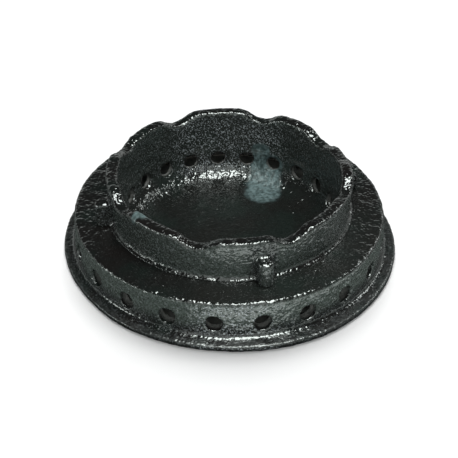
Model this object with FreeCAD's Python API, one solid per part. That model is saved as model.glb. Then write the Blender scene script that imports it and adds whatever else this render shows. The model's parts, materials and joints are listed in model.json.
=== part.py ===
import FreeCAD, Part
import math
import os

# Bowl-type burner in enamelled cast iron. A ring casting stands on its flange and encloses an
# annular air chamber; a bowl drops through the opening in the ring's shoulder and takes its air
# from that chamber. Millimetres, +Z up, origin at the centre of the flange's underside.
# Angles are in degrees from -Y towards +X, so the four lugs point along -Y, +X, +Y and -X.

# Ring casting
FLANGE_RADIUS = 100.6
FLANGE_EDGE_HEIGHT = 3.5
FLANGE_ROOT_HEIGHT = 4.4
FLANGE_TOP_ROUND = 0.8
FLANGE_BOTTOM_ROUND = 0.8
WALL_FOOT_RADIUS = 93.3
WALL_TOP_RADIUS = 92.2
WALL_FOOT_FILLET = 2.4
WALL_INSIDE_RADIUS = 86.0
SHOULDER_HEIGHT = 26.0
SHOULDER_ROUND = 2.2
SHOULDER_THICKNESS = 4.4
CHAMBER_FILLET = 4.0
OPENING_RADIUS = 68.2

# Air holes drilled radially: one row through the ring's wall, one through the bowl's.
# The margins are how far the drills start and end past the walls.
RING_HOLES = 22
RING_HOLE_RADIUS = 5.0
RING_HOLE_HEIGHT = 12.5
RING_HOLE_FIRST = 12.9
RING_DRILL_MARGIN = 2.0
BOWL_HOLES = 22
BOWL_HOLE_RADIUS = 4.8
BOWL_HOLE_HEIGHT = 17.5
BOWL_HOLE_FIRST = 7.9
BOWL_DRILL_MARGIN = 8.0

# Bowl casting
BOWL_BODY_RADIUS = 67.7
BOWL_FOOT_RADIUS = 67.2
BOWL_UNDERSIDE = 2.0
BOWL_OUTER_CORNER = 16.0
COLLAR_FOOT_RADIUS = 71.0
COLLAR_TOP_RADIUS = 72.6
COLLAR_TOE_RADIUS = 73.6
COLLAR_TOE_HEIGHT = 0.6
COLLAR_FOOT_FILLET = 2.4
RIM_HEIGHT = 51.0
RIM_INNER_RADIUS = 65.2
RIM_ROUND = 2.0
BOWL_INSIDE_RADIUS = 62.8
BOWL_FLOOR = 6.5
BOWL_INNER_CORNER = 12.0

# Scallops in the rim, as (angle, depth): each side is two equal tangent arcs. The casting is
# dressed by hand, so they vary a little. The margin is the cutters' reach past the rim's two sides.
SCALLOPS = (
    (13.7, 5.0),
    (61.7, 5.0),
    (108.7, 5.0),
    (148.2, 5.0),
    (194.7, 5.0),
    (233.7, 4.0),
    (284.1, 5.0),
    (329.7, 5.0),
)
SCALLOP_WIDTH = 31.0
SCALLOP_MARGIN = 10.0

# Lugs on the outside of the collar, each with a pin pressed into it from below. A lug is half
# round at its outer end, and its top falls outwards.
LUGS = 4
LUG_RADIUS = 4.4
LUG_ROOT = 68.0
LUG_PLACE = 76.2
LUG_TOP = 41.2
LUG_TOP_SLOPE = 9.0
LUG_TOP_ROUND = 2.2
PIN_RADIUS = 2.0
PIN_PLACE = 73.3
PIN_BOTTOM = 17.5
PIN_TOP = 36.0
PIN_CHAMFER = 0.7
PIN_HOLE_CLEARANCE = 0.35

# Seal under the bowl's collar, in a recess at the edge of the opening
SEAL_INNER_RADIUS = 68.3
SEAL_OUTER_RADIUS = 70.0
SEAL_THICKNESS = 1.2
SEAL_SIDE_GAP = 0.2

# Pressed steel pan that closes the air chamber from below, and its gasket
PAN_THICKNESS = 1.2
PAN_RADIUS = 89.0
PAN_TOP = 5.0
PAN_DISH_TOP = 1.6
PAN_DISH_RADIUS = 66.0
PAN_SLOPE_RADIUS = 70.0
PAN_BEND = 1.5
PAN_RECESS_RADIUS = 89.5
GASKET_THICKNESS = 1.0
GASKET_INNER_RADIUS = 85.8
GASKET_OUTER_RADIUS = 89.3

# Screws of the pan: M4 button heads in four bosses inside the chamber
PAN_SCREWS = 4
PAN_SCREW_FIRST = 45.0
PAN_SCREW_PLACE = 77.0
BOSS_RADIUS = 5.5
BOSS_SINK = 1.0
SCREW_RADIUS = 2.0
SCREW_LENGTH = 12.0
SCREW_HEAD_RADIUS = 3.8
SCREW_HEAD_HEIGHT = 2.2
SCREW_HEAD_ROUND = 1.2
SCREW_POINT_CHAMFER = 0.6
HEX_KEY = 2.5
HEX_DEPTH = 1.3
TAPPED_DEPTH = 11.5
PAN_HOLE_RADIUS = 2.25
WASHER_RADIUS = 4.5
WASHER_HOLE_RADIUS = 2.15
WASHER_THICKNESS = 0.8

UP = FreeCAD.Vector(0, 0, 1)
CENTRE = FreeCAD.Vector(0, 0, 0)


def around(count, first):
    """Evenly spaced angles round the axis, starting at first."""
    return [first + 360.0 * i / count for i in range(count)]


def outward(angle):
    """The horizontal unit vector that points away from the axis at angle."""
    turn = math.radians(angle)
    return FreeCAD.Vector(math.sin(turn), -math.cos(turn), 0)


def place(radius, angle, height):
    """The point at this distance from the axis, angle and height."""
    return outward(angle) * radius + UP * height


def upright(radius, at, height):
    """A vertical cylinder standing on the point at."""
    return Part.makeCylinder(radius, height, at, UP)


def radial_holes(count, first, hole_radius, height, start, end):
    """Horizontal drills round the axis, each from radius start to radius end."""
    return [
        Part.makeCylinder(hole_radius, end - start, place(start, angle, height), outward(angle))
        for angle in around(count, first)
    ]


def rounded_wire(corners):
    """A closed wire in the XZ plane through corners (radius, height, corner round)."""
    starts, ends, arcs = [], [], []
    for i, (x, z, corner) in enumerate(corners):
        here = FreeCAD.Vector(x, 0, z)
        before = corners[i - 1]
        after = corners[(i + 1) % len(corners)]
        back = (FreeCAD.Vector(before[0], 0, before[1]) - here).normalize()
        ahead = (FreeCAD.Vector(after[0], 0, after[1]) - here).normalize()
        if corner == 0:
            starts.append(here)
            ends.append(here)
            arcs.append(None)
            continue
        half = back.getAngle(ahead) / 2
        inward = (back + ahead).normalize()
        middle = here + inward * (corner / math.sin(half) - corner)
        starts.append(here + back * (corner / math.tan(half)))
        ends.append(here + ahead * (corner / math.tan(half)))
        arcs.append(Part.Arc(starts[-1], middle, ends[-1]).toShape())
    edges = []
    for i, arc in enumerate(arcs):
        if arc is not None:
            edges.append(arc)
        following = starts[(i + 1) % len(corners)]
        edges.append(Part.LineSegment(ends[i], following).toShape())
    return Part.Wire(edges)


def turned(corners):
    """A solid of revolution about the Z axis from a rounded section."""
    return Part.Face(rounded_wire(corners)).revolve(CENTRE, UP, 360)


def flat_ring(inner, outer, bottom, thickness):
    """A flat ring with a square section."""
    disc = upright(outer, UP * bottom, thickness)
    return disc.cut(upright(inner, UP * bottom, thickness))


def outer_ring():
    """Tapered flange, perforated wall and shoulder in one casting, with bosses for the pan's screws."""
    seal_floor = SHOULDER_HEIGHT - SEAL_THICKNESS
    shoulder_underside = SHOULDER_HEIGHT - SHOULDER_THICKNESS
    gasket_seat = PAN_TOP + GASKET_THICKNESS
    recess = SEAL_OUTER_RADIUS + SEAL_SIDE_GAP
    ring = turned([
        (PAN_RECESS_RADIUS, 0, 0),
        (FLANGE_RADIUS, 0, FLANGE_BOTTOM_ROUND),
        (FLANGE_RADIUS, FLANGE_EDGE_HEIGHT, FLANGE_TOP_ROUND),
        (WALL_FOOT_RADIUS, FLANGE_ROOT_HEIGHT, WALL_FOOT_FILLET),
        (WALL_TOP_RADIUS, SHOULDER_HEIGHT, SHOULDER_ROUND),
        (recess, SHOULDER_HEIGHT, 0),
        (recess, seal_floor, 0),
        (OPENING_RADIUS, seal_floor, 0),
        (OPENING_RADIUS, shoulder_underside, 0),
        (WALL_INSIDE_RADIUS, shoulder_underside, CHAMBER_FILLET),
        (WALL_INSIDE_RADIUS, gasket_seat, 0),
        (PAN_RECESS_RADIUS, gasket_seat, 0),
    ])
    boss_height = shoulder_underside + BOSS_SINK - PAN_TOP
    screw_places = [
        place(PAN_SCREW_PLACE, angle, PAN_TOP) for angle in around(PAN_SCREWS, PAN_SCREW_FIRST)
    ]
    ring = ring.fuse([upright(BOSS_RADIUS, at, boss_height) for at in screw_places])
    cuts = [upright(SCREW_RADIUS, at, TAPPED_DEPTH) for at in screw_places]
    cuts += [
        upright(PIN_RADIUS + PIN_HOLE_CLEARANCE, place(PIN_PLACE, angle, PIN_BOTTOM), SHOULDER_HEIGHT)
        for angle in around(LUGS, 0)
    ]
    cuts += radial_holes(
        RING_HOLES,
        RING_HOLE_FIRST,
        RING_HOLE_RADIUS,
        RING_HOLE_HEIGHT,
        WALL_INSIDE_RADIUS - RING_DRILL_MARGIN,
        WALL_FOOT_RADIUS + RING_DRILL_MARGIN,
    )
    return ring.cut(cuts)


def scallop(angle, depth):
    """The cutter of one dip: tangent arcs down to the bottom and up again, swept outwards."""
    half, quarter = SCALLOP_WIDTH / 2, SCALLOP_WIDTH / 4
    arc_radius = (quarter ** 2 + (depth / 2) ** 2) / depth
    crown = math.asin(quarter / arc_radius) / 2
    side_step = arc_radius * math.sin(crown)
    drop = arc_radius * (1 - math.cos(crown))

    def at(x, z):
        return FreeCAD.Vector(x, SCALLOP_MARGIN - RIM_INNER_RADIUS, RIM_HEIGHT + z)

    left = Part.Arc(at(-half, 0), at(-half + side_step, -drop), at(-quarter, -depth / 2))
    bottom = Part.Arc(at(-quarter, -depth / 2), at(0, -depth), at(quarter, -depth / 2))
    right = Part.Arc(at(quarter, -depth / 2), at(half - side_step, -drop), at(half, 0))
    lid = Part.makePolygon([at(half, 0), at(half, depth), at(-half, depth), at(-half, 0)])
    outline = Part.Wire([left.toShape(), bottom.toShape(), right.toShape()] + lid.Edges)
    sweep = FreeCAD.Vector(0, RIM_INNER_RADIUS - COLLAR_TOP_RADIUS - 2 * SCALLOP_MARGIN, 0)
    cutter = Part.Face(outline).extrude(sweep)
    cutter.rotate(CENTRE, UP, angle)
    return cutter


def lug(angle):
    """A lug with a half-round end, sunk into the collar, its top cut to a slope and rounded."""
    height = RIM_HEIGHT - SHOULDER_HEIGHT
    post = upright(LUG_RADIUS, place(LUG_PLACE, 0, SHOULDER_HEIGHT), height)
    corner = FreeCAD.Vector(-LUG_RADIUS, -LUG_PLACE, SHOULDER_HEIGHT)
    post = post.fuse(Part.makeBox(2 * LUG_RADIUS, LUG_PLACE - LUG_ROOT, height, corner))
    post = post.removeSplitter()
    centre = place(LUG_PLACE, 0, LUG_TOP)
    knife = upright(LUG_PLACE, centre, RIM_HEIGHT)
    knife.rotate(centre, FreeCAD.Vector(1, 0, 0), LUG_TOP_SLOPE)
    post = post.cut(knife)
    highest = max(post.Faces, key=lambda face: face.CenterOfMass.z)
    post = post.makeFillet(LUG_TOP_ROUND, highest.Edges)
    post.rotate(CENTRE, UP, angle)
    return post


def is_rim_edge(edge):
    """True for an edge along the top of the collar's inner or outer side, dips included."""
    points = [edge.valueAt(edge.FirstParameter), edge.valueAt(edge.LastParameter), edge.CenterOfMass]
    reach = [math.hypot(point.x, point.y) for point in points]
    middle = (COLLAR_TOP_RADIUS + RIM_INNER_RADIUS) / 2
    high = min(point.z for point in points) > LUG_TOP
    return high and (min(reach) > middle or max(reach) < middle)


def bowl():
    """The bowl with its scalloped collar, seating step, lugs and air holes."""
    casting = turned([
        (0, BOWL_UNDERSIDE, 0),
        (BOWL_FOOT_RADIUS, BOWL_UNDERSIDE, BOWL_OUTER_CORNER),
        (BOWL_BODY_RADIUS, SHOULDER_HEIGHT, 0),
        (COLLAR_TOE_RADIUS, SHOULDER_HEIGHT, 0),
        (COLLAR_TOE_RADIUS, SHOULDER_HEIGHT + COLLAR_TOE_HEIGHT, 0),
        (COLLAR_FOOT_RADIUS, SHOULDER_HEIGHT + COLLAR_TOE_HEIGHT, COLLAR_FOOT_FILLET),
        (COLLAR_TOP_RADIUS, RIM_HEIGHT, 0),
        (RIM_INNER_RADIUS, RIM_HEIGHT, 0),
        (BOWL_INSIDE_RADIUS, BOWL_FLOOR, BOWL_INNER_CORNER),
        (0, BOWL_FLOOR, 0),
    ])
    casting = casting.cut([scallop(angle, depth) for angle, depth in SCALLOPS])
    casting = casting.makeFillet(RIM_ROUND, [edge for edge in casting.Edges if is_rim_edge(edge)])
    casting = casting.fuse([lug(angle) for angle in around(LUGS, 0)])
    cuts = [
        upright(PIN_RADIUS, place(PIN_PLACE, angle, SHOULDER_HEIGHT), PIN_TOP - SHOULDER_HEIGHT)
        for angle in around(LUGS, 0)
    ]
    cuts += radial_holes(
        BOWL_HOLES,
        BOWL_HOLE_FIRST,
        BOWL_HOLE_RADIUS,
        BOWL_HOLE_HEIGHT,
        BOWL_INSIDE_RADIUS - BOWL_DRILL_MARGIN,
        BOWL_BODY_RADIUS + BOWL_DRILL_MARGIN,
    )
    return casting.cut(cuts)


def bowl_seal():
    """Flat ring that the bowl's collar presses down on."""
    bottom = SHOULDER_HEIGHT - SEAL_THICKNESS
    return flat_ring(SEAL_INNER_RADIUS, SEAL_OUTER_RADIUS, bottom, SEAL_THICKNESS)


def base_gasket():
    """Flat ring between the pan's edge and its seat in the ring casting."""
    return flat_ring(GASKET_INNER_RADIUS, GASKET_OUTER_RADIUS, PAN_TOP, GASKET_THICKNESS)


def base_pan():
    """Pressed pan: flat rim with screw holes, and a dished middle that clears the bowl."""
    bottom = PAN_TOP - PAN_THICKNESS
    dish_bottom = PAN_DISH_TOP - PAN_THICKNESS
    slope = math.atan2(PAN_TOP - PAN_DISH_TOP, PAN_SLOPE_RADIUS - PAN_DISH_RADIUS)
    lean = PAN_THICKNESS * math.tan(slope / 2)
    pan = turned([
        (0, dish_bottom, 0),
        (PAN_DISH_RADIUS + lean, dish_bottom, PAN_BEND + PAN_THICKNESS),
        (PAN_SLOPE_RADIUS + lean, bottom, PAN_BEND),
        (PAN_RADIUS, bottom, 0),
        (PAN_RADIUS, PAN_TOP, 0),
        (PAN_SLOPE_RADIUS, PAN_TOP, PAN_BEND + PAN_THICKNESS),
        (PAN_DISH_RADIUS, PAN_DISH_TOP, PAN_BEND),
        (0, PAN_DISH_TOP, 0),
    ])
    return pan.cut([
        upright(PAN_HOLE_RADIUS, place(PAN_SCREW_PLACE, angle, bottom), PAN_THICKNESS)
        for angle in around(PAN_SCREWS, PAN_SCREW_FIRST)
    ])


def base_washer(angle):
    """Plain washer against the pan's underside."""
    top = PAN_TOP - PAN_THICKNESS
    at = place(PAN_SCREW_PLACE, angle, top - WASHER_THICKNESS)
    washer = upright(WASHER_RADIUS, at, WASHER_THICKNESS)
    return washer.cut(upright(WASHER_HOLE_RADIUS, at, WASHER_THICKNESS))


def base_screw(angle):
    """Button-head screw, head down, with a hexagon socket."""
    seat = PAN_TOP - PAN_THICKNESS - WASHER_THICKNESS
    tip = seat + SCREW_LENGTH
    head_bottom = seat - SCREW_HEAD_HEIGHT
    screw = turned([
        (0, head_bottom, 0),
        (SCREW_HEAD_RADIUS - SCREW_HEAD_ROUND, head_bottom, 0),
        (SCREW_HEAD_RADIUS, seat - SCREW_HEAD_HEIGHT + SCREW_HEAD_ROUND, 0),
        (SCREW_HEAD_RADIUS, seat, 0),
        (SCREW_RADIUS, seat, 0),
        (SCREW_RADIUS, tip - SCREW_POINT_CHAMFER, 0),
        (SCREW_RADIUS - SCREW_POINT_CHAMFER, tip, 0),
        (0, tip, 0),
    ])
    corner = HEX_KEY / math.sqrt(3)
    hexagon = [
        FreeCAD.Vector(corner * math.cos(turn), corner * math.sin(turn), head_bottom)
        for turn in [math.radians(60 * i) for i in range(7)]
    ]
    socket = Part.Face(Part.makePolygon(hexagon)).extrude(UP * HEX_DEPTH)
    screw = screw.cut(socket)
    screw.translate(place(PAN_SCREW_PLACE, angle, 0))
    return screw


def locating_pin(angle):
    """Plain pin with chamfered ends, pressed up into a lug."""
    inner = PIN_RADIUS - PIN_CHAMFER
    pin = turned([
        (0, PIN_BOTTOM, 0),
        (inner, PIN_BOTTOM, 0),
        (PIN_RADIUS, PIN_BOTTOM + PIN_CHAMFER, 0),
        (PIN_RADIUS, PIN_TOP - PIN_CHAMFER, 0),
        (inner, PIN_TOP, 0),
        (0, PIN_TOP, 0),
    ])
    pin.translate(place(PIN_PLACE, angle, 0))
    return pin


nodes = {
    "outer_ring": outer_ring(),
    "bowl": bowl(),
    "bowl_seal": bowl_seal(),
    "base_pan": base_pan(),
    "base_gasket": base_gasket(),
}
for number, angle in enumerate(around(LUGS, 0), 1):
    nodes[f"locating_pin_{number}"] = locating_pin(angle)
for number, angle in enumerate(around(PAN_SCREWS, PAN_SCREW_FIRST), 1):
    nodes[f"base_screw_{number}"] = base_screw(angle)
    nodes[f"base_washer_{number}"] = base_washer(angle)

os.makedirs("parts", exist_ok=True)
for name, shape in nodes.items():
    solids = shape.Solids
    print(name, len(solids), shape.isValid(), round(shape.Volume))
    solid = solids[0] if len(solids) == 1 else shape
    solid.exportStep(f"parts/{name}.step")
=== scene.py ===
import json
import math

import bmesh
import bpy
import numpy as np
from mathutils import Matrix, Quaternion, Vector


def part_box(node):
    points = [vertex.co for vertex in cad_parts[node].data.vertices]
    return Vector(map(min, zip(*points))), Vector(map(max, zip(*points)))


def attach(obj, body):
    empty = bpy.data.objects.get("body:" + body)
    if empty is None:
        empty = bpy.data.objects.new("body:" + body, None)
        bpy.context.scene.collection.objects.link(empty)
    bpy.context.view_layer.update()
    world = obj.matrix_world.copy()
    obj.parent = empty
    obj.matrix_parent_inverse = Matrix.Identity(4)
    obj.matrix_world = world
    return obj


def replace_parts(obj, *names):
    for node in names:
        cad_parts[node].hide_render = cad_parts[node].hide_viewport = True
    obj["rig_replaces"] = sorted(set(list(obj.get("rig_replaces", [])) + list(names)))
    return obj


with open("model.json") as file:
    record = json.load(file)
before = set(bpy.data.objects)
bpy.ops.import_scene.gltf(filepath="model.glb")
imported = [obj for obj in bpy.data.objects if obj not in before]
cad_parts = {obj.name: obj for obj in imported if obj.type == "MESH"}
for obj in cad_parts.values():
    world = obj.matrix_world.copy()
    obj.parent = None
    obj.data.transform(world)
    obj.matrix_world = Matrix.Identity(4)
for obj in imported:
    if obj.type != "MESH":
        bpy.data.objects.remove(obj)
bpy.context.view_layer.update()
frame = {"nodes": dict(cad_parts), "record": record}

MM = 0.001

# Camera: turned from -Y towards -X, so that the lug on -Y shows to the right of the middle
VIEW_TURN = math.radians(-15.3)
VIEW_HEIGHT = math.radians(37.31)
VIEW_DISTANCE = 0.6473
VIEW_PITCH = math.radians(0.52)
VIEW_ROLL = math.radians(0.76)
LENS_MM = 83.05
SENSOR_MM = 36.0

# Castings: remeshing step and smoothing, then cell size and depth of each layer of noise, in
# millimetres, and the first seed of each casting's noise
VOXEL = 0.8
SMOOTH_STEPS = 3
SMOOTH_FACTOR = 0.5
LUMPS = (11.0, 0.22)
HAMMER = (4.0, 0.18)
ORANGE_PEEL = (1.8, 0.20)
RING_SEED = 11
BOWL_SEED = 23
# Where a surface starts to count as upright, and where it fully does: 0 is level, 1 is upright
UPRIGHT = (0.35, 0.85)

# Each pair that ends in REACH, TOP or RISE is a stretch in millimetres over which a mask fades. A REACH
# is a distance from the axis. A TOP is a height where a mask ends, and a RISE one where it begins
FLANGE_REACH = (90.0, 93.0)
FLANGE_TOP = (6.0, 9.0)
FLANGE_EDGE_REACH = (95.0, 97.0)
FLANGE_EDGE_TOP = (5.0, 7.0)
BORE_REACH = (87.5, 91.5)
BORE_TOP = (21.5, 22.5)
WALL_RISE = (5.0, 17.0)
SHOULDER_RISE = (20.0, 23.0)
SKIRT_REACH = (63.5, 66.0)
SKIRT_TOP = (25.0, 26.5)
INNER_WALL_REACH = (64.5, 65.5)
COLLAR_REACH = (65.0, 69.0)

# The flange is a little out of true: turn in degrees, and how far the edge is pushed out there
RUN_OUT = (
    (-180, 0.0),
    (-135, 0.0),
    (-120, -0.5),
    (-105, -0.7),
    (-90, -1.2),
    (-75, -1.6),
    (-65, -1.2),
    (-55, -0.3),
    (-45, -0.1),
    (-30, -0.1),
    (-15, 0.3),
    (0, 1.1),
    (15, 1.6),
    (30, 1.0),
    (45, 0.6),
    (60, 0.2),
    (75, 0.1),
    (95, -0.4),
    (120, 0.0),
    (180, 0.0),
)
RUN_OUT_REACH = (93.0, 100.6)

# Coves where the lugs run into the collar: smoothing steps, width beside a lug, and softness of their ends
COVE_STEPS = 12
COVE_WIDTH = 3.5
COVE_FADE = 1.0
COVE_INNER_REACH = (71.0, 72.0)
COVE_OUTER_REACH = (74.5, 75.5)
LUG_HALF_WIDTH = 4.4
LUG_FRONT_HALF_WIDTH = 2.5

# The rim is a little uneven: turn in degrees, and how far it stands above its drawn height there
RIM_WAVE = (
    (0, 0.0),
    (80, 0.0),
    (88, -1.3),
    (93, -1.9),
    (100, -1.6),
    (109, -0.1),
    (116, -1.3),
    (128, -0.3),
    (150, -0.4),
    (170, -0.5),
    (205, -0.3),
    (214, -0.8),
    (221, -1.5),
    (226, -1.2),
    (233, 0.3),
    (238, 0.7),
    (245, 0.7),
    (255, 0.0),
    (360, 0.0),
)
RIM_RISE = (38.0, 46.0)

# Greenish grey over the black, partly the enamel's own tone and partly painted reflection of the pale
# floor on upright faces: all of it on the ring's wall, fading out towards its foot, and this share
# elsewhere.
# The collar has a painted pool of light near one turn and painted shade beside the lugs, and the shoulder
# a painted sheen near one turn
COLLAR_TONE_AND_SHEEN = 0.38
COLLAR_PAINTED_LIGHT = 0.46
COLLAR_PAINTED_LIGHT_TURN = math.radians(-10)
LUG_SHADE = 0.8
LUG_FRONT_SHADE = 0.6
LUG_SHADE_WIDTH = 11.0
INNER_TONE_AND_SHEEN = 0.30
INNER_FLOOR_TONE_AND_SHEEN = 0.08
SHOULDER_PAINTED_SHEEN = 0.13
SHOULDER_PAINTED_SHEEN_TURN = math.radians(20)

# The flange's own finish: how matt its outer edge is as a share of the grey spots' mattness, how flecked
# it is, and how much smoother it is than the rest of the ring
FLANGE_MATT = 0.33
FLANGE_FLECKS = 0.12
FLANGE_CALM = 0.4

# Pale flecks everywhere on the walls, and painted glints on one stretch of the bowl's inner wall and on
# one of the ring's wall, where those walls face the camera, each with its middle, its spread to either
# side, and the share of that before it fades
FLECKS = 0.25
PAINTED_GLINT_TURN = math.radians(166)
PAINTED_GLINT_SPREAD = math.radians(38)
PAINTED_GLINT_CORE = 0.6
PAINTED_GLINT_RISE = (8.0, 12.0)
WALL_PAINTED_GLINT_TURN = math.radians(-13)
WALL_PAINTED_GLINT_SPREAD = math.radians(17)
WALL_PAINTED_GLINT_CORE = 0.5

# Bluish grey, rougher spots inside the bowl and on its rim: turn, distance from the axis, height and size
# of each spot
GREY_SPOTS = (
    (146, 63, 24, 7.5),
    (142, 62, 15, 13),
    (141, 55, 8, 13.5),
    (137, 47, 6.5, 13.5),
    (136, 42, 6.5, 9),
    (298.5, 66.8, 48.8, 6),
)
# Share of a spot before it fades, and the noise that makes its edge ragged: cell, depth and seed
GREY_SPOT_CORE = 0.62
GREY_SPOT_EDGE = ((5.0, 1.6, 31), (2.2, 0.9, 32))

# Enamel: colour of the flecks and painted glints, tint of the shine, roughness of matt spots, and depths
# of bumps in metres
FLECK_AND_GLINT_COLOUR = (0.13, 0.145, 0.15)
SHINE_TINT = (0.92, 1.0, 0.96)
MATT_ROUGHNESS = 0.6
PEEL_DEPTH = 0.00045
GRAIN_DEPTH = 0.00036

# Small parts, in millimetres. SIDES are the steps round a part. The pan's wave fades out over PAN_STILL
# before its slope, and the pan is dusty where its surface faces up by more than PAN_UPWARD
NUMBERS = range(1, 5)
EDGE_ROUND = 0.25
ROUND_STEPS = 4
SHEET_STEP = 5.0
SHEET_WAVE = (26.0, 0.10)
SHEET_SEED = 41
GASKET_WIDTH = 3.5
GASKET_STEP = 0.6
GASKET_SIDES = 480
GASKET_WAVE = (5.0, 0.08)
GASKET_SEED = 43
SEAL_HALF_WIDTH = 0.85
SEAL_STRANDS = 110
SEAL_STRAND_DEPTH = 0.12
SEAL_STRAND_LEAN = 2
SEAL_SIDES = 880
SEAL_POINTS = 20
THREAD_PITCH = 0.7
THREAD_DEPTH = 0.38
THREAD_ROW = 0.1
SCREW_SIDES = 48
SCREW_HEAD_HEIGHT = 2.2
SCREW_HEAD_DOME = 1.2
SCREW_RADIUS = 2.0
SCREW_POINT = 0.6
# Hexagon socket: width and depth, radius of its mouth, its lead-in, and the bevel round its floor
HEX_KEY = 2.5
HEX_DEPTH = 1.3
HEX_MOUTH = 1.6
HEX_LEAD_IN = 0.15
HEX_FLOOR_EDGE = 0.1
HEX_FLOOR_SHARE = 0.97

PIN_SIDES = 48
PIN_CHAMFER = 0.7
WASHER_SIDES = 64
WASHER_HOLE_RADIUS = 2.15
PAN_SIDES = 160
PAN_HOLE_SIDES = 32
PAN_HOLE_RADIUS = 2.25
PAN_SLOPE = (66.0, 70.0)
PAN_SHEET = 1.2
PAN_DISH = 3.4
PAN_BEND = 2.0
PAN_STILL = 6.0
PAN_UPWARD = 0.3

# Soft boxes: turn from the camera's and height in degrees, distance, width and depth in metres, and watts
SOFT_BOXES = {
    "key": (40, 80, 1.6, 0.8, 0.7, 50),
    "fill": (0, 42, 1.2, 1.4, 0.9, 9),
    "left": (-72, 14, 1.2, 0.35, 0.35, 4),
    "right_back": (118, 38, 1.1, 0.30, 0.30, 3),
}
# Light from the table: turn from the camera's in degrees, distance, width and depth in metres, and watts
TABLE_GLOWS = {
    "near_glow": (7, 0.138, 0.095, 0.050, 0.045),
    "wide_glow": (42, 0.162, 0.240, 0.070, 0.125),
}
GLOW_HEIGHT = 0.0005
# Suns on the floor: turn from the camera's, height and spread in degrees, and strength
FLOOR_SUNS = {
    "floor_back": (180, 53, 46, 3.42),
    "floor_front": (0, 60, 40, 0.85),
}
FLOOR_HALF_SIZE = 40.0


def toward(turn, height=0.0):
    """Unit vector at this turn round the axis from -Y towards +X, and height above level."""
    flat = math.cos(height)
    return Vector((math.sin(turn) * flat, -math.cos(turn) * flat, math.sin(height)))


# ---------------------------------------------------------------- noise and masks on meshes

def lattice_noise(points, cell, seed):
    """Smooth noise from -1 to 1 at each point, from random values on a lattice of this cell size."""
    grid = points / cell
    corner = np.floor(grid).astype(int)
    part = grid - corner
    part = part * part * (3 - 2 * part)
    corner = corner - corner.min(0)
    values = np.random.default_rng(seed).uniform(-1, 1, corner.max(0) + 2)
    total = np.zeros(len(points))
    for dx in (0, 1):
        for dy in (0, 1):
            for dz in (0, 1):
                share = (
                    np.abs(1 - dx - part[:, 0])
                    * np.abs(1 - dy - part[:, 1])
                    * np.abs(1 - dz - part[:, 2])
                )
                total += share * values[corner[:, 0] + dx, corner[:, 1] + dy, corner[:, 2] + dz]
    return total


def points_of(mesh, what="co"):
    """The mesh's vertex places, or its vertex normals, as an array with three columns."""
    values = np.empty(len(mesh.vertices) * 3)
    mesh.vertices.foreach_get(what, values)
    return values.reshape(-1, 3)


def set_points(mesh, points):
    """Moves the mesh's vertices to these places."""
    mesh.vertices.foreach_set("co", points.ravel())
    mesh.update()


def reach_of(points):
    """Distance of each point from the axis."""
    return np.hypot(points[:, 0], points[:, 1])


def turn_of(points):
    """Turn of each point round the axis from -Y towards +X, in radians from -pi to pi."""
    return np.arctan2(points[:, 0], -points[:, 1])


def layered_noise(points, layers, unit=1.0):
    """The sum of layers of noise (cell, depth, seed), for points given in this unit of length."""
    return sum(depth * lattice_noise(points, cell * unit, seed) for cell, depth, seed in layers)


def roughen(mesh, layers, share):
    """Moves the vertices along their normals by layers of noise (cell, depth, seed) in millimetres.
    The share scales the whole, and may be an array with a value for each vertex."""
    points = points_of(mesh)
    push = share * layered_noise(points, layers, MM)
    set_points(mesh, points + points_of(mesh, "normal") * push[:, None] * MM)


def step(value, start, end):
    """Smooth step from 0 at start to 1 at end."""
    part = np.clip((value - start) / (end - start), 0, 1)
    return part * part * (3 - 2 * part)


def fade(value, start, end):
    """Smooth step from 1 at start to 0 at end."""
    return 1 - step(value, start, end)


def facing(turn, centre):
    """1 at the centre turn, and down to 0 a quarter of the way round from it."""
    return np.clip(np.cos(turn - centre), 0, 1)


def stretch_round(turn, centre, spread, core):
    """1 round the centre turn, fading from the core share of the spread to 0 at the spread."""
    off = np.abs((turn - centre + math.pi) % (2 * math.pi) - math.pi)
    return fade(off, spread * core, spread)


def paint(mesh, name, values):
    """Stores one number per vertex for a material to read."""
    layer = mesh.attributes.new(name, "FLOAT", "POINT")
    layer.data.foreach_set("value", values.astype(np.float32))


def uprightness(mesh):
    """1 where the surface stands upright, 0 where it lies level."""
    return step(1 - np.abs(points_of(mesh, "normal")[:, 2]), *UPRIGHT)


# ---------------------------------------------------------------- castings

def baked(piece):
    """Applies the piece's modifiers to its mesh."""
    bpy.context.view_layer.update()
    graph = bpy.context.evaluated_depsgraph_get()
    mesh = bpy.data.meshes.new_from_object(piece.evaluated_get(graph), depsgraph=graph)
    piece.modifiers.clear()
    piece.data = mesh
    return piece


def on_body(piece, body, slot, *nodes):
    """Lets the piece ride on its body and stand for its CAD nodes."""
    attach(piece, body)
    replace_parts(piece, *nodes)
    return piece


def smoothed(piece, steps, weights=None):
    """Smooths the piece, all over or by a weight for each vertex."""
    smooth = piece.modifiers.new("smooth", "SMOOTH")
    smooth.factor = SMOOTH_FACTOR
    smooth.iterations = steps
    if weights is not None:
        group = piece.vertex_groups.new(name="smooth")
        for index in np.flatnonzero(weights > 0):
            group.add([int(index)], float(weights[index]), "REPLACE")
        smooth.vertex_group = group.name
    return baked(piece)


def casting(node, name):
    """The CAD node as a sand casting, with every corner a little rounded."""
    piece = bpy.data.objects.new(name, frame["nodes"][node].data.copy())
    bpy.context.scene.collection.objects.link(piece)
    remesh = piece.modifiers.new("remesh", "REMESH")
    remesh.mode = "VOXEL"
    remesh.voxel_size = VOXEL * MM
    return smoothed(piece, SMOOTH_STEPS)


def skin(mesh, seed, share=1.0):
    """Lumps, hammered dents and orange peel all over a casting, times share, in smooth shading."""
    roughen(mesh, [(*LUMPS, seed), (*HAMMER, seed + 1), (*ORANGE_PEEL, seed + 2)], share)
    mesh.polygons.foreach_set("use_smooth", [True] * len(mesh.polygons))


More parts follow.
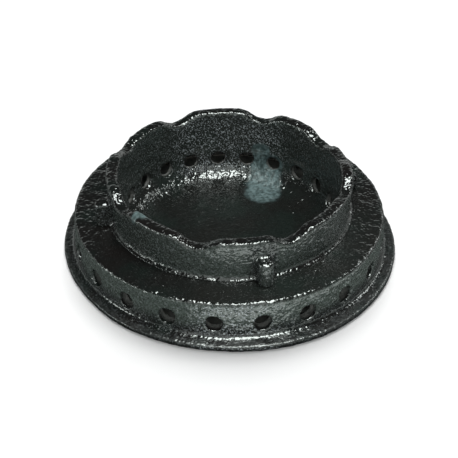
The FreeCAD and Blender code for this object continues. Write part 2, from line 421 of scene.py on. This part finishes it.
def run_out(mesh):
    """Pushes the flange in and out round the ring."""
    points = points_of(mesh) / MM
    turn = turn_of(points)
    turns, pushes = zip(*RUN_OUT)
    push = np.interp(np.degrees(turn), turns, pushes)
    push *= step(reach_of(points), *RUN_OUT_REACH) * fade(points[:, 2], *FLANGE_TOP)
    points[:, 0] += push * np.sin(turn)
    points[:, 1] -= push * np.cos(turn)
    set_points(mesh, points * MM)


def ring_casting():
    """The flanged ring with its air holes. Inside, the iron is bare and dusty."""
    piece = casting("outer_ring", "ring_casting")
    run_out(piece.data)
    side = uprightness(piece.data)
    points = points_of(piece.data) / MM
    flange = step(reach_of(points), *FLANGE_REACH) * fade(points[:, 2], *FLANGE_TOP)
    skin(piece.data, RING_SEED, 1 - FLANGE_CALM * flange)
    points = points_of(piece.data)
    points[:, 2] = np.maximum(points[:, 2], 0)
    set_points(piece.data, points)
    points /= MM
    reach, turn, height = reach_of(points), turn_of(points), points[:, 2]
    paint(piece.data, "inside", fade(reach, *BORE_REACH) * fade(height, *BORE_TOP))
    # Painted sheen on the shoulder, strongest near one turn
    shoulder = SHOULDER_PAINTED_SHEEN * facing(turn, SHOULDER_PAINTED_SHEEN_TURN) ** 2 * step(height, *SHOULDER_RISE)
    # Greenish tone on upright faces, partly the enamel's own and partly painted reflection, fading out
    # towards the wall's foot
    paint(piece.data, "side", np.maximum(side * step(height, *WALL_RISE), shoulder))
    # Pale flecks on upright faces, with painted glints on the stretch of wall that faces the camera
    painted_glints = stretch_round(turn, WALL_PAINTED_GLINT_TURN, WALL_PAINTED_GLINT_SPREAD, WALL_PAINTED_GLINT_CORE)
    wall_flecks_and_glints = side * (FLECKS + (1 - FLECKS) * painted_glints)
    paint(piece.data, "flecks_and_glints", np.maximum(wall_flecks_and_glints, FLANGE_FLECKS * flange))
    paint(piece.data, "grey_spots", np.zeros(len(points)))
    edge = step(reach, *FLANGE_EDGE_REACH) * fade(height, *FLANGE_EDGE_TOP)
    paint(piece.data, "matt", FLANGE_MATT * edge)
    paint(piece.data, "calm", flange)
    return on_body(piece, "ring", "enamelled_iron", "outer_ring")


def across_lugs(points):
    """Distance of each point from the nearest lug's middle. The four lugs lie on the X and Y axes."""
    return np.minimum(np.abs(points[:, 0]), np.abs(points[:, 1]))


def lug_coves(points):
    """1 in the corners between the collar and the lugs, else 0."""
    across, reach = across_lugs(points), reach_of(points)
    end = LUG_HALF_WIDTH + COVE_WIDTH
    beside = step(across, LUG_HALF_WIDTH - COVE_FADE, LUG_HALF_WIDTH) * fade(across, end - COVE_FADE, end)
    above = fade(across, LUG_HALF_WIDTH - COVE_FADE, LUG_HALF_WIDTH)
    near_collar = step(reach, *COVE_INNER_REACH) * fade(reach, *COVE_OUTER_REACH)
    return near_collar * (beside + above)


def lug_shade(points):
    """Painted shade: 1 on the lugs' flanks, less on their fronts, and going down to 0 on the collar some
    way off.
    """
    across = across_lugs(points)
    front = LUG_FRONT_SHADE + (1 - LUG_FRONT_SHADE) * step(across, LUG_FRONT_HALF_WIDTH, LUG_HALF_WIDTH)
    return front * fade(across, LUG_HALF_WIDTH, LUG_SHADE_WIDTH)


def uneven_rim(mesh):
    """Raises and lowers the rim round the bowl."""
    points = points_of(mesh) / MM
    turns, rises = zip(*RIM_WAVE)
    rise = np.interp(np.degrees(turn_of(points)) % 360, turns, rises)
    points[:, 2] += rise * step(points[:, 2], *RIM_RISE)
    set_points(mesh, points * MM)


def grey_spot_share(points):
    """1 in the bluish grey spots, with ragged edges, else 0."""
    ragged = layered_noise(points, GREY_SPOT_EDGE)
    grey_spots = np.zeros(len(points))
    for turn, distance, height, size in GREY_SPOTS:
        centre = np.array(toward(math.radians(turn)) * distance) + (0, 0, height)
        away = np.linalg.norm(points - centre, axis=1) + ragged
        grey_spots = np.maximum(grey_spots, fade(away, size * GREY_SPOT_CORE, size))
    return grey_spots


def bowl_casting():
    """The bowl with coves at its lugs, bluish grey spots inside, and painted light and shade on its walls.
    """
    piece = casting("bowl", "bowl_casting")
    smoothed(piece, COVE_STEPS, lug_coves(points_of(piece.data) / MM))
    uneven_rim(piece.data)
    side = uprightness(piece.data)
    skin(piece.data, BOWL_SEED)
    points = points_of(piece.data) / MM
    reach, turn, height = reach_of(points), turn_of(points), points[:, 2]
    paint(piece.data, "inside", step(reach, *SKIRT_REACH) * fade(height, *SKIRT_TOP))
    # Painted pool of light on the collar's outside, strongest near one turn, over its greenish tone and
    # painted reflection
    outer_tone_and_sheen = COLLAR_TONE_AND_SHEEN + COLLAR_PAINTED_LIGHT * facing(turn, COLLAR_PAINTED_LIGHT_TURN) ** 6
    # Painted shade on the lugs and on the collar beside them
    outer_tone_and_sheen *= 1 - LUG_SHADE * lug_shade(points)
    # Greenish tone on upright walls, partly the enamel's own and partly painted reflection, less inside
    # the bowl than on the collar
    wall_tone_and_sheen = side * (INNER_TONE_AND_SHEEN + (outer_tone_and_sheen - INNER_TONE_AND_SHEEN) * step(reach, *COLLAR_REACH))
    inner = fade(reach, *INNER_WALL_REACH)
    paint(piece.data, "side", np.maximum(wall_tone_and_sheen, INNER_FLOOR_TONE_AND_SHEEN * inner))
    # Painted glints on the stretch of inner wall that faces the camera
    painted_glints = stretch_round(turn, PAINTED_GLINT_TURN, PAINTED_GLINT_SPREAD, PAINTED_GLINT_CORE)
    painted_glints *= inner * step(height, *PAINTED_GLINT_RISE)
    paint(piece.data, "flecks_and_glints", FLECKS * side + (1 - FLECKS) * painted_glints)
    grey_spots = grey_spot_share(points)
    paint(piece.data, "grey_spots", grey_spots)
    paint(piece.data, "matt", grey_spots)
    return on_body(piece, "bowl", "enamelled_iron", "bowl")


# ---------------------------------------------------------------- small parts

def rounded(corners):
    """The outline through corners (radius, height, rounding), each corner rounded off."""
    outline = []
    befores, afters = corners[-1:] + corners, corners[1:] + corners[:1]
    for before, (radius, height, cut), after in zip(befores, corners, afters):
        corner = np.array((radius, height), float)
        if cut == 0:
            outline.append(corner)
            continue
        ends = []
        for other in (before, after):
            way = np.array(other[:2], float) - corner
            ends.append(corner + way * (cut / np.linalg.norm(way)))
        for part in np.linspace(0, 1, ROUND_STEPS + 1):
            rest = 1 - part
            outline.append(ends[0] * rest ** 2 + corner * 2 * part * rest + ends[1] * part ** 2)
    return [tuple(point) for point in outline]


def with_steps(outline, longest):
    """The same outline with no stretch longer than this."""
    made = [outline[0]]
    for start, end in zip(outline, outline[1:]):
        count = max(1, math.ceil(math.dist(start, end) / longest))
        for part in range(1, count + 1):
            made.append(tuple(a + (b - a) * part / count for a, b in zip(start, end)))
    return made


def turns_round(sides):
    """The turns of this many even steps round a circle, in radians."""
    return np.arange(sides) * 2 * math.pi / sides


def spun(name, outline, sides, centre=(0, 0), loop=False):
    """A skin round an upright axis, from rows (radius, height) in millimetres.
    Each number may be an array with a value for every step round. A radius of 0 makes a pole."""
    turns = turns_round(sides)
    corners, rows = [], []
    for radius, height in outline:
        first = len(corners)
        if np.isscalar(radius) and radius < 1e-6:
            rows.append([first] * sides)
            corners.append((centre[0], centre[1], float(height)))
            continue
        rows.append(list(range(first, first + sides)))
        corners += zip(
            centre[0] + radius * np.cos(turns),
            centre[1] + radius * np.sin(turns),
            np.broadcast_to(height, sides).astype(float),
        )
    if loop:
        rows.append(rows[0])
    faces = []
    for low, high in zip(rows, rows[1:]):
        for here in range(sides):
            there = (here + 1) % sides
            face = list(dict.fromkeys((low[here], low[there], high[there], high[here])))
            if len(face) > 2:
                faces.append(face)
    mesh = bpy.data.meshes.new(name)
    mesh.from_pydata([(x * MM, y * MM, z * MM) for x, y, z in corners], [], faces)
    shape = bmesh.new()
    shape.from_mesh(mesh)
    bmesh.ops.recalc_face_normals(shape, faces=shape.faces)
    shape.to_mesh(mesh)
    shape.free()
    piece = bpy.data.objects.new(name, mesh)
    bpy.context.scene.collection.objects.link(piece)
    return piece


def soft_shaded(piece, angle=40):
    """Smooth shading that keeps edges sharper than this angle in degrees."""
    piece.data.polygons.foreach_set("use_smooth", [True] * len(piece.data.polygons))
    piece.data.set_sharp_from_angle(angle=math.radians(angle))
    return piece


def limits(node):
    """Lowest corner and highest corner of a CAD node, in millimetres."""
    return [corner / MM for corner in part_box(node)]


def axis_of(node):
    """Where a round CAD node's upright axis stands, in millimetres."""
    low, high = limits(node)
    return (low.x + high.x) / 2, (low.y + high.y) / 2


def pan_sheet():
    """The pressed pan with rounded edges, slightly wavy, and its screw holes."""
    low, high = limits("base_pan")
    start, end = PAN_SLOPE
    lean = PAN_SHEET * math.tan(math.atan2(PAN_DISH, end - start) / 2)
    under, rim = low.z, high.z - PAN_SHEET
    outline = rounded([
        (0, under, 0),
        (start + lean, under, PAN_BEND),
        (end + lean, rim, PAN_BEND),
        (high.x, rim, EDGE_ROUND),
        (high.x, high.z, EDGE_ROUND),
        (end, high.z, PAN_BEND),
        (start, under + PAN_SHEET, PAN_BEND),
        (0, under + PAN_SHEET, 0),
    ])
    piece = spun("pan_sheet", with_steps(outline, SHEET_STEP), PAN_SIDES)
    points = points_of(piece.data)
    wave = layered_noise(points, [(*SHEET_WAVE, SHEET_SEED)], MM)
    points[:, 2] += wave * MM * fade(reach_of(points) / MM, start - PAN_STILL, start)
    set_points(piece.data, points)
    top = high.z + 1
    drill_outline = [(0, under), (PAN_HOLE_RADIUS, under), (PAN_HOLE_RADIUS, top), (0, top)]
    for number in NUMBERS:
        drill = spun("drill", drill_outline, PAN_HOLE_SIDES, axis_of(f"base_washer_{number}"))
        cut = piece.modifiers.new("hole", "BOOLEAN")
        cut.operation = "DIFFERENCE"
        cut.object = drill
        baked(piece)
        bpy.data.objects.remove(drill)
    paint(piece.data, "inside", points_of(piece.data, "normal")[:, 2] > PAN_UPWARD)
    return on_body(soft_shaded(piece), "ring", "pan_steel", "base_pan")


def gasket_ring():
    """The pan's gasket, pressed a little uneven."""
    low, high = limits("base_gasket")
    inner = high.x - GASKET_WIDTH
    half = (inner + high.x) / 2
    outline = rounded([
        (half, low.z, 0),
        (high.x, low.z, EDGE_ROUND),
        (high.x, high.z, EDGE_ROUND),
        (inner, high.z, EDGE_ROUND),
        (inner, low.z, EDGE_ROUND),
    ])
    piece = spun("gasket_ring", with_steps(outline, GASKET_STEP), GASKET_SIDES, loop=True)
    points = points_of(piece.data)
    reach = reach_of(points)
    push = layered_noise(points, [(*GASKET_WAVE, GASKET_SEED)], MM) * MM
    points[:, :2] *= (1 + np.where(reach < half * MM, -np.abs(push), push * 0.5) / reach)[:, None]
    set_points(piece.data, points)
    return on_body(soft_shaded(piece), "ring", "seal_fibre", "base_gasket")


def seal_rope():
    """The braided seal under the bowl's collar."""
    low, high = limits("bowl_seal")
    middle, half_height = (high.z + low.z) / 2, (high.z - low.z) / 2
    strand_turns = SEAL_STRANDS * turns_round(SEAL_SIDES) / 2
    outline = []
    for part in turns_round(SEAL_POINTS):
        strand = np.abs(np.sin(strand_turns + SEAL_STRAND_LEAN * part))
        weave = np.abs(np.sin(strand_turns - SEAL_STRAND_LEAN * part))
        size = 1 - SEAL_STRAND_DEPTH * (1 - np.maximum(strand, weave))
        outline.append((
            high.x - SEAL_HALF_WIDTH + SEAL_HALF_WIDTH * size * math.cos(part),
            middle + half_height * size * math.sin(part),
        ))
    piece = spun("seal_rope", outline, SEAL_SIDES, loop=True)
    return on_body(soft_shaded(piece, 60), "ring", "seal_fibre", "bowl_seal")


def turned_pin(number):
    """A plain pin with softened chamfers."""
    node = f"locating_pin_{number}"
    low, high = limits(node)
    radius = (high.x - low.x) / 2
    outline = rounded([
        (0, low.z, 0),
        (radius - PIN_CHAMFER, low.z, EDGE_ROUND),
        (radius, low.z + PIN_CHAMFER, EDGE_ROUND),
        (radius, high.z - PIN_CHAMFER, EDGE_ROUND),
        (radius - PIN_CHAMFER, high.z, EDGE_ROUND),
        (0, high.z, 0),
    ])
    piece = spun(f"turned_pin_{number}", outline, PIN_SIDES, axis_of(node))
    return on_body(soft_shaded(piece), "bowl", "pin_steel", node)


def threaded_screw(number):
    """A button-head screw, head down, with its hexagon socket and rolled thread."""
    node = f"base_screw_{number}"
    low, high = limits(node)
    head = (high.x - low.x) / 2
    seat = low.z + SCREW_HEAD_HEIGHT
    turns = turns_round(SCREW_SIDES)
    hexagon = HEX_KEY / 2 / np.cos((turns + math.pi / 6) % (math.pi / 3) - math.pi / 6)
    rows = [
        (0, low.z + HEX_DEPTH),
        (hexagon * HEX_FLOOR_SHARE, low.z + HEX_DEPTH),
        (hexagon, low.z + HEX_DEPTH - HEX_FLOOR_EDGE),
        (hexagon, low.z + HEX_LEAD_IN),
        (HEX_MOUTH, low.z),
    ]
    rows += rounded([
        (head - SCREW_HEAD_DOME, low.z, EDGE_ROUND),
        (head, low.z + SCREW_HEAD_DOME, EDGE_ROUND),
        (head, seat, EDGE_ROUND / 2),
        (SCREW_RADIUS - THREAD_DEPTH, seat, 0),
    ])[1:]
    for height in np.arange(seat + THREAD_ROW, high.z - THREAD_ROW / 2, THREAD_ROW):
        phase = ((height - seat) / THREAD_PITCH - turns / (2 * math.pi)) % 1
        radius = SCREW_RADIUS - THREAD_DEPTH * np.abs(2 * phase - 1)
        tip = SCREW_RADIUS - SCREW_POINT + (high.z - height)
        rows.append((np.minimum(radius, tip), height))
    rows += [(SCREW_RADIUS - SCREW_POINT - THREAD_DEPTH / 2, high.z), (0, high.z)]
    piece = spun(f"threaded_screw_{number}", rows, SCREW_SIDES, axis_of(node))
    return on_body(soft_shaded(piece, 30), "ring", "screw_steel", node)


def plain_washer(number):
    """A stamped washer with rounded edges."""
    node = f"base_washer_{number}"
    low, high = limits(node)
    radius = (high.x - low.x) / 2
    outline = rounded([
        ((radius + WASHER_HOLE_RADIUS) / 2, low.z, 0),
        (radius, low.z, EDGE_ROUND),
        (radius, high.z, EDGE_ROUND / 2),
        (WASHER_HOLE_RADIUS, high.z, EDGE_ROUND / 2),
        (WASHER_HOLE_RADIUS, low.z, EDGE_ROUND),
    ])
    piece = spun(f"plain_washer_{number}", outline, WASHER_SIDES, axis_of(node), loop=True)
    return on_body(soft_shaded(piece), "ring", "screw_steel", node)


# ---------------------------------------------------------------- materials

def node_tree(name):
    """A new material with its tree and its Principled shader."""
    material = bpy.data.materials.new(name)
    material.use_nodes = True
    tree = material.node_tree
    return material, tree, tree.nodes["Principled BSDF"]


def feed(tree, socket, value):
    """Links the socket to another node's output, or sets it to a colour or a number."""
    if isinstance(value, bpy.types.NodeSocket):
        tree.links.new(value, socket)
    elif hasattr(value, "__len__"):
        socket.default_value = (*value, 1)
    else:
        socket.default_value = value


def surface(tree, shader, colour, roughness, normal):
    """Sets the shader's colour, roughness and normal."""
    feed(tree, shader.inputs["Base Color"], colour)
    feed(tree, shader.inputs["Roughness"], roughness)
    feed(tree, shader.inputs["Normal"], normal)


def own_place(tree):
    """The place on the object's own coordinates."""
    where = tree.nodes.get("Texture Coordinate") or tree.nodes.new("ShaderNodeTexCoord")
    return where.outputs["Object"]


def squeezed_place(tree, squeeze):
    """The same, squeezed along the upright axis, so that noise draws fine rings round a turned part."""
    stretch = tree.nodes.new("ShaderNodeMapping")
    stretch.inputs["Scale"].default_value = (1, 1, squeeze)
    tree.links.new(own_place(tree), stretch.inputs["Vector"])
    return stretch.outputs["Vector"]


def noise(tree, scale, detail, roughness=0.5, place=None):
    """A noise texture, its scale in features per metre."""
    texture = tree.nodes.new("ShaderNodeTexNoise")
    texture.inputs["Scale"].default_value = scale
    texture.inputs["Detail"].default_value = detail
    texture.inputs["Roughness"].default_value = roughness
    tree.links.new(place or own_place(tree), texture.inputs["Vector"])
    return texture.outputs["Fac"]


def ramp(tree, source, stops):
    """A colour ramp over source with stops (position, colour or grey)."""
    made = tree.nodes.new("ShaderNodeValToRGB")
    elements = made.color_ramp.elements
    while len(elements) < len(stops):
        elements.new(0.5)
    for element, (position, value) in zip(elements, stops):
        element.position = position
        element.color = (*value, 1) if hasattr(value, "__len__") else (value, value, value, 1)
    tree.links.new(source, made.inputs["Fac"])
    return made.outputs["Color"]


def bump(tree, height, distance, strength=1.0, below=None):
    """A bump node of this depth in metres, on top of the normal below."""
    made = tree.nodes.new("ShaderNodeBump")
    made.inputs["Distance"].default_value = distance
    feed(tree, made.inputs["Strength"], strength)
    tree.links.new(height, made.inputs["Height"])
    if below is not None:
        tree.links.new(below, made.inputs["Normal"])
    return made.outputs["Normal"]


def painted(tree, name):
    """The number that paint() stored on the mesh under this name, or 0 where it stored none."""
    made = tree.nodes.new("ShaderNodeAttribute")
    made.attribute_name = name
    return made.outputs["Fac"]


def mixed(tree, share, first, second):
    """Goes from the first colour to the second as share goes from 0 to 1."""
    made = tree.nodes.new("ShaderNodeMix")
    made.data_type = "RGBA"
    tree.links.new(share, made.inputs[0])
    feed(tree, made.inputs[6], first)
    feed(tree, made.inputs[7], second)
    return made.outputs[2]


def worked_out(tree, operation, *values):
    """The outcome of a math node on these numbers or other nodes' outputs."""
    made = tree.nodes.new("ShaderNodeMath")
    made.operation = operation
    for socket, value in zip(made.inputs, values):
        feed(tree, socket, value)
    return made.outputs["Value"]


def enamel():
    """Glossy black vitreous enamel over rough iron, with a greenish tone that is partly painted
    reflection, light and shade, pale flecks and painted glints, bluish grey spots in places, and bare and
    dusty inside.
    """
    material, tree, shader = node_tree("black_enamel")
    black = ramp(tree, noise(tree, 45, 4), [
        (0.34, (0.0032, 0.0027, 0.0025)),
        (0.50, (0.0028, 0.0029, 0.0027)),
        (0.64, (0.0030, 0.0046, 0.0039)),
    ])
    green_tone_and_sheen = ramp(tree, noise(tree, 850, 3, 0.7), [
        (0.34, (0.015, 0.019, 0.016)),
        (0.52, (0.027, 0.035, 0.030)),
        (0.68, (0.052, 0.064, 0.059)),
    ])
    grey = ramp(tree, noise(tree, 420, 5), [
        (0.38, (0.010, 0.021, 0.021)),
        (0.62, (0.052, 0.080, 0.081)),
    ])
    dust = ramp(tree, noise(tree, 300, 4), [
        (0.3, (0.085, 0.092, 0.085)),
        (0.7, (0.16, 0.165, 0.155)),
    ])
    specks = ramp(tree, noise(tree, 1100, 1), [(0.54, 0.0), (0.66, 1.0)])
    # Pale flecks, and painted glints where the walls face the camera
    flecks_and_glints = worked_out(tree, "MULTIPLY", specks, painted(tree, "flecks_and_glints"))
    # Greenish grey from the side attribute: partly the enamel's own tone, partly painted reflection,
    # painted light and painted shade
    colour = mixed(tree, painted(tree, "side"), black, green_tone_and_sheen)
    colour = mixed(tree, flecks_and_glints, colour, FLECK_AND_GLINT_COLOUR)
    colour = mixed(tree, painted(tree, "grey_spots"), colour, grey)
    colour = mixed(tree, painted(tree, "inside"), colour, dust)
    gloss = ramp(tree, noise(tree, 300, 3), [(0.3, 0.08), (0.7, 0.19)])
    roughness = mixed(tree, painted(tree, "matt"), gloss, [MATT_ROUGHNESS] * 3)
    strength = worked_out(tree, "MULTIPLY_ADD", painted(tree, "calm"), -FLANGE_CALM, 1.0)
    peel = bump(tree, noise(tree, 300, 1), PEEL_DEPTH, strength)
    grain = bump(tree, noise(tree, 720, 0), GRAIN_DEPTH, strength, peel)
    surface(tree, shader, colour, roughness, grain)
    feed(tree, shader.inputs["Specular Tint"], SHINE_TINT)
    return material


def turned_steel():
    """Bare steel with fine turning rings and a few brown stains."""
    material, tree, shader = node_tree("turned_steel")
    shader.inputs["Metallic"].default_value = 1.0
    tone = ramp(tree, noise(tree, 500, 5), [
        (0.32, (0.16, 0.11, 0.08)),
        (0.45, (0.36, 0.35, 0.33)),
        (0.70, (0.46, 0.45, 0.43)),
    ])
    rings = noise(tree, 300, 3, place=squeezed_place(tree, 18))
    surface(tree, shader, tone, ramp(tree, rings, [(0.3, 0.24), (0.7, 0.42)]), bump(tree, rings, 0.00004))
    return material


def zinc():
    """Zinc plating, faintly mottled yellow and blue."""
    material, tree, shader = node_tree("zinc_plate")
    shader.inputs["Metallic"].default_value = 1.0
    tone = ramp(tree, noise(tree, 260, 4), [
        (0.30, (0.50, 0.50, 0.54)),
        (0.52, (0.58, 0.58, 0.56)),
        (0.70, (0.60, 0.57, 0.48)),
    ])
    gloss = ramp(tree, noise(tree, 1200, 3), [(0.3, 0.22), (0.7, 0.40)])
    surface(tree, shader, tone, gloss, bump(tree, noise(tree, 2500, 3), 0.00003))
    return material


def pan_paint():
    """Satin black paint on pressed steel, rubbed grey in places, and dusty inside the air chamber."""
    material, tree, shader = node_tree("pan_paint")
    tone = ramp(tree, noise(tree, 70, 6, 0.6), [
        (0.35, (0.016, 0.016, 0.015)),
        (0.58, (0.024, 0.024, 0.023)),
        (0.72, (0.060, 0.058, 0.052)),
    ])
    dust = ramp(tree, noise(tree, 220, 5), [
        (0.3, (0.075, 0.082, 0.074)),
        (0.7, (0.130, 0.135, 0.122)),
    ])
    colour = mixed(tree, painted(tree, "inside"), tone, dust)
    gloss = ramp(tree, noise(tree, 160, 4), [(0.3, 0.36), (0.7, 0.58)])
    surface(tree, shader, colour, gloss, bump(tree, noise(tree, 1300, 3), 0.00008))
    return material


def fibre(name, dark, pale, scale):
    """Heat-resistant fibre, matt and flecked."""
    material, tree, shader = node_tree(name)
    tone = ramp(tree, noise(tree, scale, 5, 0.65), [(0.34, dark), (0.66, pale)])
    surface(tree, shader, tone, 0.92, bump(tree, noise(tree, scale * 1.6, 4), 0.00015))
    return material


def finish_with(piece, material):
    """Gives the piece this one material."""
    piece.data.materials.clear()
    piece.data.materials.append(material)


def dressed(pieces, material):
    """Finishes the pieces with one material and returns them."""
    for piece in pieces:
        finish_with(piece, material)
    return pieces


# ---------------------------------------------------------------- the scene round the object

def floor():
    """A plain pale floor far wider than the view, which the object's shine doesn't mirror."""
    mesh = bpy.data.meshes.new("floor")
    half = FLOOR_HALF_SIZE
    corners = [(-half, -half, 0), (half, -half, 0), (half, half, 0), (-half, half, 0)]
    mesh.from_pydata(corners, [], [(0, 1, 2, 3)])
    piece = bpy.data.objects.new("floor", mesh)
    bpy.context.scene.collection.objects.link(piece)
    material, _, shader = node_tree("pale_floor")
    shader.inputs["Base Color"].default_value = (0.9, 0.9, 0.9, 1)
    shader.inputs["Roughness"].default_value = 0.9
    shader.inputs["Specular IOR Level"].default_value = 0.0
    mesh.materials.append(material)
    piece.visible_glossy = False
    return piece


def from_view(turn, height=0):
    """Unit vector at this turn from the camera's and height above level, both in degrees."""
    return toward(VIEW_TURN + math.radians(turn), math.radians(height))


def area_light(name, width, depth, power):
    """A rectangular area light, to be placed."""
    data = bpy.data.lights.new(name, "AREA")
    data.shape = "RECTANGLE"
    data.size = width
    data.size_y = depth
    data.energy = power
    light = bpy.data.objects.new(name, data)
    bpy.context.scene.collection.objects.link(light)
    return light


def soft_box(name, turn, height, distance, *size_and_power):
    """An area light that faces the object."""
    light = area_light(name, *size_and_power)
    place = from_view(turn, height)
    light.location = place * distance
    light.rotation_euler = place.to_track_quat("Z", "Y").to_euler()
    return light


def table_glow(name, turn, distance, *size_and_power):
    """Light that comes up from the pale table close to the object."""
    light = area_light(name, *size_and_power)
    light.location = from_view(turn) * distance + Vector((0, 0, GLOW_HEIGHT))
    light.rotation_euler = (math.pi, 0, VIEW_TURN + math.radians(turn))
    light.visible_camera = False
    return light


def broad_sun(name, turn, height, spread, strength):
    """Even light from a wide disc of sky, this many degrees across."""
    data = bpy.data.lights.new(name, "SUN")
    data.angle = math.radians(spread)
    data.energy = strength
    light = bpy.data.objects.new(name, data)
    light.rotation_euler = from_view(turn, height).to_track_quat("Z", "Y").to_euler()
    bpy.context.scene.collection.objects.link(light)
    return light


def only_on(light, pieces):
    """Lets the light fall on these objects alone."""
    group = bpy.data.collections.new(light.name + "_falls_on")
    for piece in pieces:
        group.objects.link(piece)
    light.light_linking.receiver_collection = group


def lights(ground, pieces):
    """Soft boxes and the table's glow on the object alone, and two broad suns on the floor alone."""
    for name, values in SOFT_BOXES.items():
        only_on(soft_box(name, *values), pieces)
    for name, values in TABLE_GLOWS.items():
        only_on(table_glow(name, *values), pieces)
    for name, values in FLOOR_SUNS.items():
        only_on(broad_sun(name, *values), [ground])


def room():
    """The surroundings: a white band round the horizon, and dim grey above and below it.
    The ramp goes from straight down at 0 to straight up at 1, with the horizon at 0.5."""
    world = bpy.data.worlds.new("room")
    world.use_nodes = True
    tree = world.node_tree
    where = tree.nodes.new("ShaderNodeTexCoord")
    split = tree.nodes.new("ShaderNodeSeparateXYZ")
    tree.links.new(where.outputs["Generated"], split.inputs["Vector"])
    band = ramp(tree, worked_out(tree, "MULTIPLY_ADD", split.outputs["Z"], 0.5, 0.5), [
        (0.0, (0.06, 0.065, 0.065)),
        (0.42, (0.10, 0.11, 0.105)),
        (0.499, (0.98, 1.0, 0.99)),
        (0.61, (0.80, 0.86, 0.83)),
        (0.71, (0.07, 0.075, 0.075)),
        (1.0, (0.06, 0.065, 0.065)),
    ])
    tree.links.new(band, tree.nodes["Background"].inputs["Color"])
    bpy.context.scene.world = world


def camera():
    """The camera, at the angle and distance that the object is normally shown from."""
    data = bpy.data.cameras.new("camera")
    data.lens = LENS_MM
    data.sensor_width = SENSOR_MM
    view = toward(VIEW_TURN, VIEW_HEIGHT)
    piece = bpy.data.objects.new("camera", data)
    piece.location = view * VIEW_DISTANCE
    turn = view.to_track_quat("Z", "Y")
    turn = turn @ Quaternion((1, 0, 0), VIEW_PITCH) @ Quaternion((0, 0, 1), VIEW_ROLL)
    piece.rotation_mode = "QUATERNION"
    piece.rotation_quaternion = turn
    bpy.context.scene.collection.objects.link(piece)
    bpy.context.scene.camera = piece


made = dressed([ring_casting(), bowl_casting()], enamel())
made += dressed([pan_sheet()], pan_paint())
made += dressed([gasket_ring()], fibre("gasket_fibre", (0.16, 0.15, 0.14), (0.34, 0.33, 0.30), 1100))
made += dressed([seal_rope()], fibre("seal_fibre", (0.22, 0.21, 0.19), (0.42, 0.40, 0.36), 1700))
made += dressed([turned_pin(number) for number in NUMBERS], turned_steel())
plating = zinc()
made += dressed([threaded_screw(number) for number in NUMBERS], plating)
made += dressed([plain_washer(number) for number in NUMBERS], plating)
# Each CAD node has the finish of the piece that stands for it
for subpart in frame["record"]["subparts"]:
    stands_in = next(piece for piece in made if subpart["node"] in piece.get("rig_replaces", []))
    finish_with(frame["nodes"][subpart["node"]], stands_in.data.materials[0])
ground = floor()
room()
lights(ground, made)
camera()

bpy.context.scene.view_settings.view_transform = "Standard"
